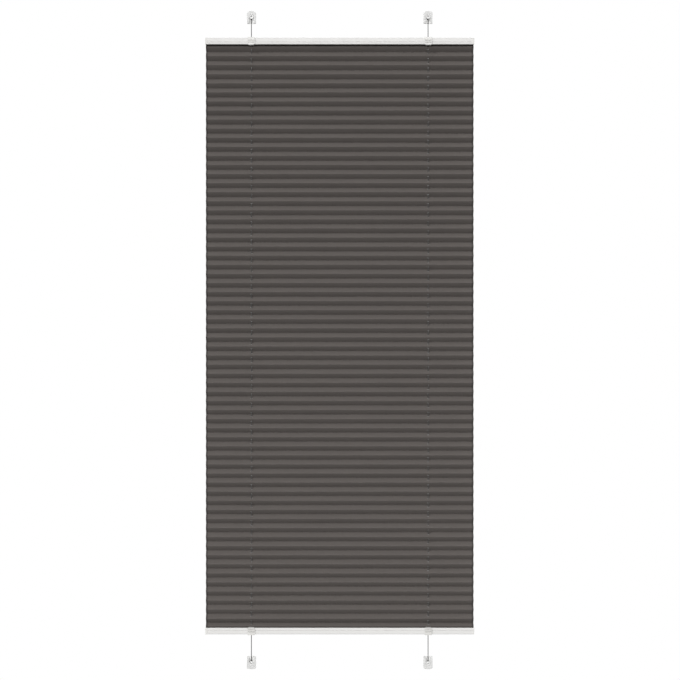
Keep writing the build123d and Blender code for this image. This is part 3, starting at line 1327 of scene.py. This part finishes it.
@dataclass(frozen=True)
class Lamp:
    """One broad, distant lamp: its strength, spread and bearing in degrees, and whether it glints."""

    name: str
    light: float
    spread: float
    left: float
    height: float
    glints: bool = True
    distance: float = 3.0

    def build(self) -> None:
        """Adds the lamp, turned towards the blind from its bearing and height."""
        data = bpy.data.lights.new(self.name, "SUN")
        data.energy = self.light
        data.angle = math.radians(self.spread)
        lamp = bpy.data.objects.new(self.name, data)
        left, height = math.radians(self.left), math.radians(self.height)
        level = math.cos(height)
        away = Vector((-math.sin(left) * level, -math.cos(left) * level, math.sin(height)))
        lamp.location = away * self.distance
        lamp.rotation_mode = "QUATERNION"
        lamp.rotation_quaternion = away.to_track_quat("Z", "Y")
        lamp.visible_glossy = self.glints
        bpy.context.scene.collection.objects.link(lamp)


@dataclass
class Studio:
    """Camera, broad lamps with the strongest at the upper left, white surroundings and a pale floor."""

    distance: float = 4.44
    seen_height: float = 1.2638
    rail_front: float = -0.019
    aside: float = 0.0005
    sensor: float = 36.0
    sight: float = 50.0
    around_light: float = 0.33
    lamps: tuple[Lamp, ...] = (
        Lamp("key", 1.55, 18.0, 40.0, 38.0),
        Lamp("front_fill", 1.0, 16.0, 0.0, 12.0),
        Lamp("back_fill", 1.22, 16.0, 180.0, 12.0, glints=False),
        Lamp("side_fill", 0.9, 16.0, -95.0, 12.0, glints=False),
    )
    floor_z: float = -1.2
    floor_size: float = 6.0
    floor_colour: Colour = (0.8, 0.8, 0.795)
    floor_roughness: float = 0.9
    floor_lift: float = 0.33

    def build(self) -> None:
        """Builds the whole stage."""
        self.camera()
        self.world()
        for lamp in self.lamps:
            lamp.build()
        self.floor()
        LOG.info("studio: camera %.2f m away", self.distance)

    def camera(self) -> None:
        """Adds the camera at the blind's middle height, square to its front and a touch to the right."""
        data = bpy.data.cameras.new("camera")
        data.sensor_width = self.sensor
        data.lens = self.sensor * self.distance / self.seen_height
        data.clip_end = self.sight
        camera = bpy.data.objects.new("camera", data)
        camera.location = (self.aside, self.rail_front - self.distance, 0.0)
        camera.rotation_euler = (math.pi / 2, 0.0, 0.0)
        bpy.context.scene.collection.objects.link(camera)
        bpy.context.scene.camera = camera

    def seen_directly(self, sheet: NodeSheet) -> Socket:
        """Mask of the rays that show the surroundings themselves.

        Args:
            sheet: The nodes to add to.

        Returns:
            1 for camera, glossy and transmission rays.
        """
        rays = sheet.add("ShaderNodeLightPath").outputs
        mirrored = sheet.math("MAXIMUM", rays["Is Glossy Ray"], rays["Is Transmission Ray"])
        return sheet.math("MAXIMUM", rays["Is Camera Ray"], mirrored)

    def world(self) -> None:
        """Adds white surroundings that light the blind at a plain level."""
        world = bpy.data.worlds.new("white_room")
        world.use_nodes = True
        bpy.context.scene.world = world
        sheet = NodeSheet(world.node_tree)
        strength = sheet.ranged(self.seen_directly(sheet), self.around_light, 1.0)
        ground = world.node_tree.nodes["Background"]
        ground.inputs["Color"].default_value = (1.0, 1.0, 1.0, 1.0)
        sheet.feed(ground.inputs["Strength"], strength)

    def floor(self) -> None:
        """Adds the pale floor, which keeps the blind's soft shadow and doesn't show from below."""
        half = self.floor_size / 2
        mesh = bpy.data.meshes.new("floor")
        corners = [(-half, -half), (half, -half), (half, half), (-half, half)]
        mesh.from_pydata([(x, y, self.floor_z) for x, y in corners], [], [(0, 1, 2, 3)])
        floor = bpy.data.objects.new("floor", mesh)
        bpy.context.scene.collection.objects.link(floor)
        material, sheet, shader = Finish("pale_floor", self.floor_colour, self.floor_roughness).start()
        shader.inputs["Base Color"].default_value = (*self.floor_colour, 1.0)
        shader.inputs["Roughness"].default_value = self.floor_roughness
        shader.inputs["Specular IOR Level"].default_value = 0.0
        shader.inputs["Emission Color"].default_value = (1.0, 1.0, 1.0, 1.0)
        lift = sheet.ranged(self.seen_directly(sheet), 0.0, self.floor_lift)
        sheet.feed(shader.inputs["Emission Strength"], lift)
        underside = sheet.add("ShaderNodeNewGeometry").outputs["Backfacing"]
        clear = sheet.give("ShaderNodeBsdfTransparent")
        one_sided = sheet.give("ShaderNodeMixShader", {0: underside, 1: shader.outputs[0], 2: clear})
        sheet.feed(material.node_tree.nodes["Material Output"].inputs["Surface"], one_sided)
        mesh.materials.append(material)


def main() -> None:
    """Builds the stage and the blind."""
    logging.basicConfig(level=logging.INFO, format="%(name)s: %(message)s")
    bpy.context.scene.view_settings.view_transform = "Standard"
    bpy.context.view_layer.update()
    Studio().build()
    palette = Palette()
    for side in Side:
        TensionCord(side).build(palette)
    for end in End:
        RailAssembly(end).build(palette)
        ShoePair(end).build(palette)
    PleatedFabric().build(palette)


if __name__ == "__main__":
    main()
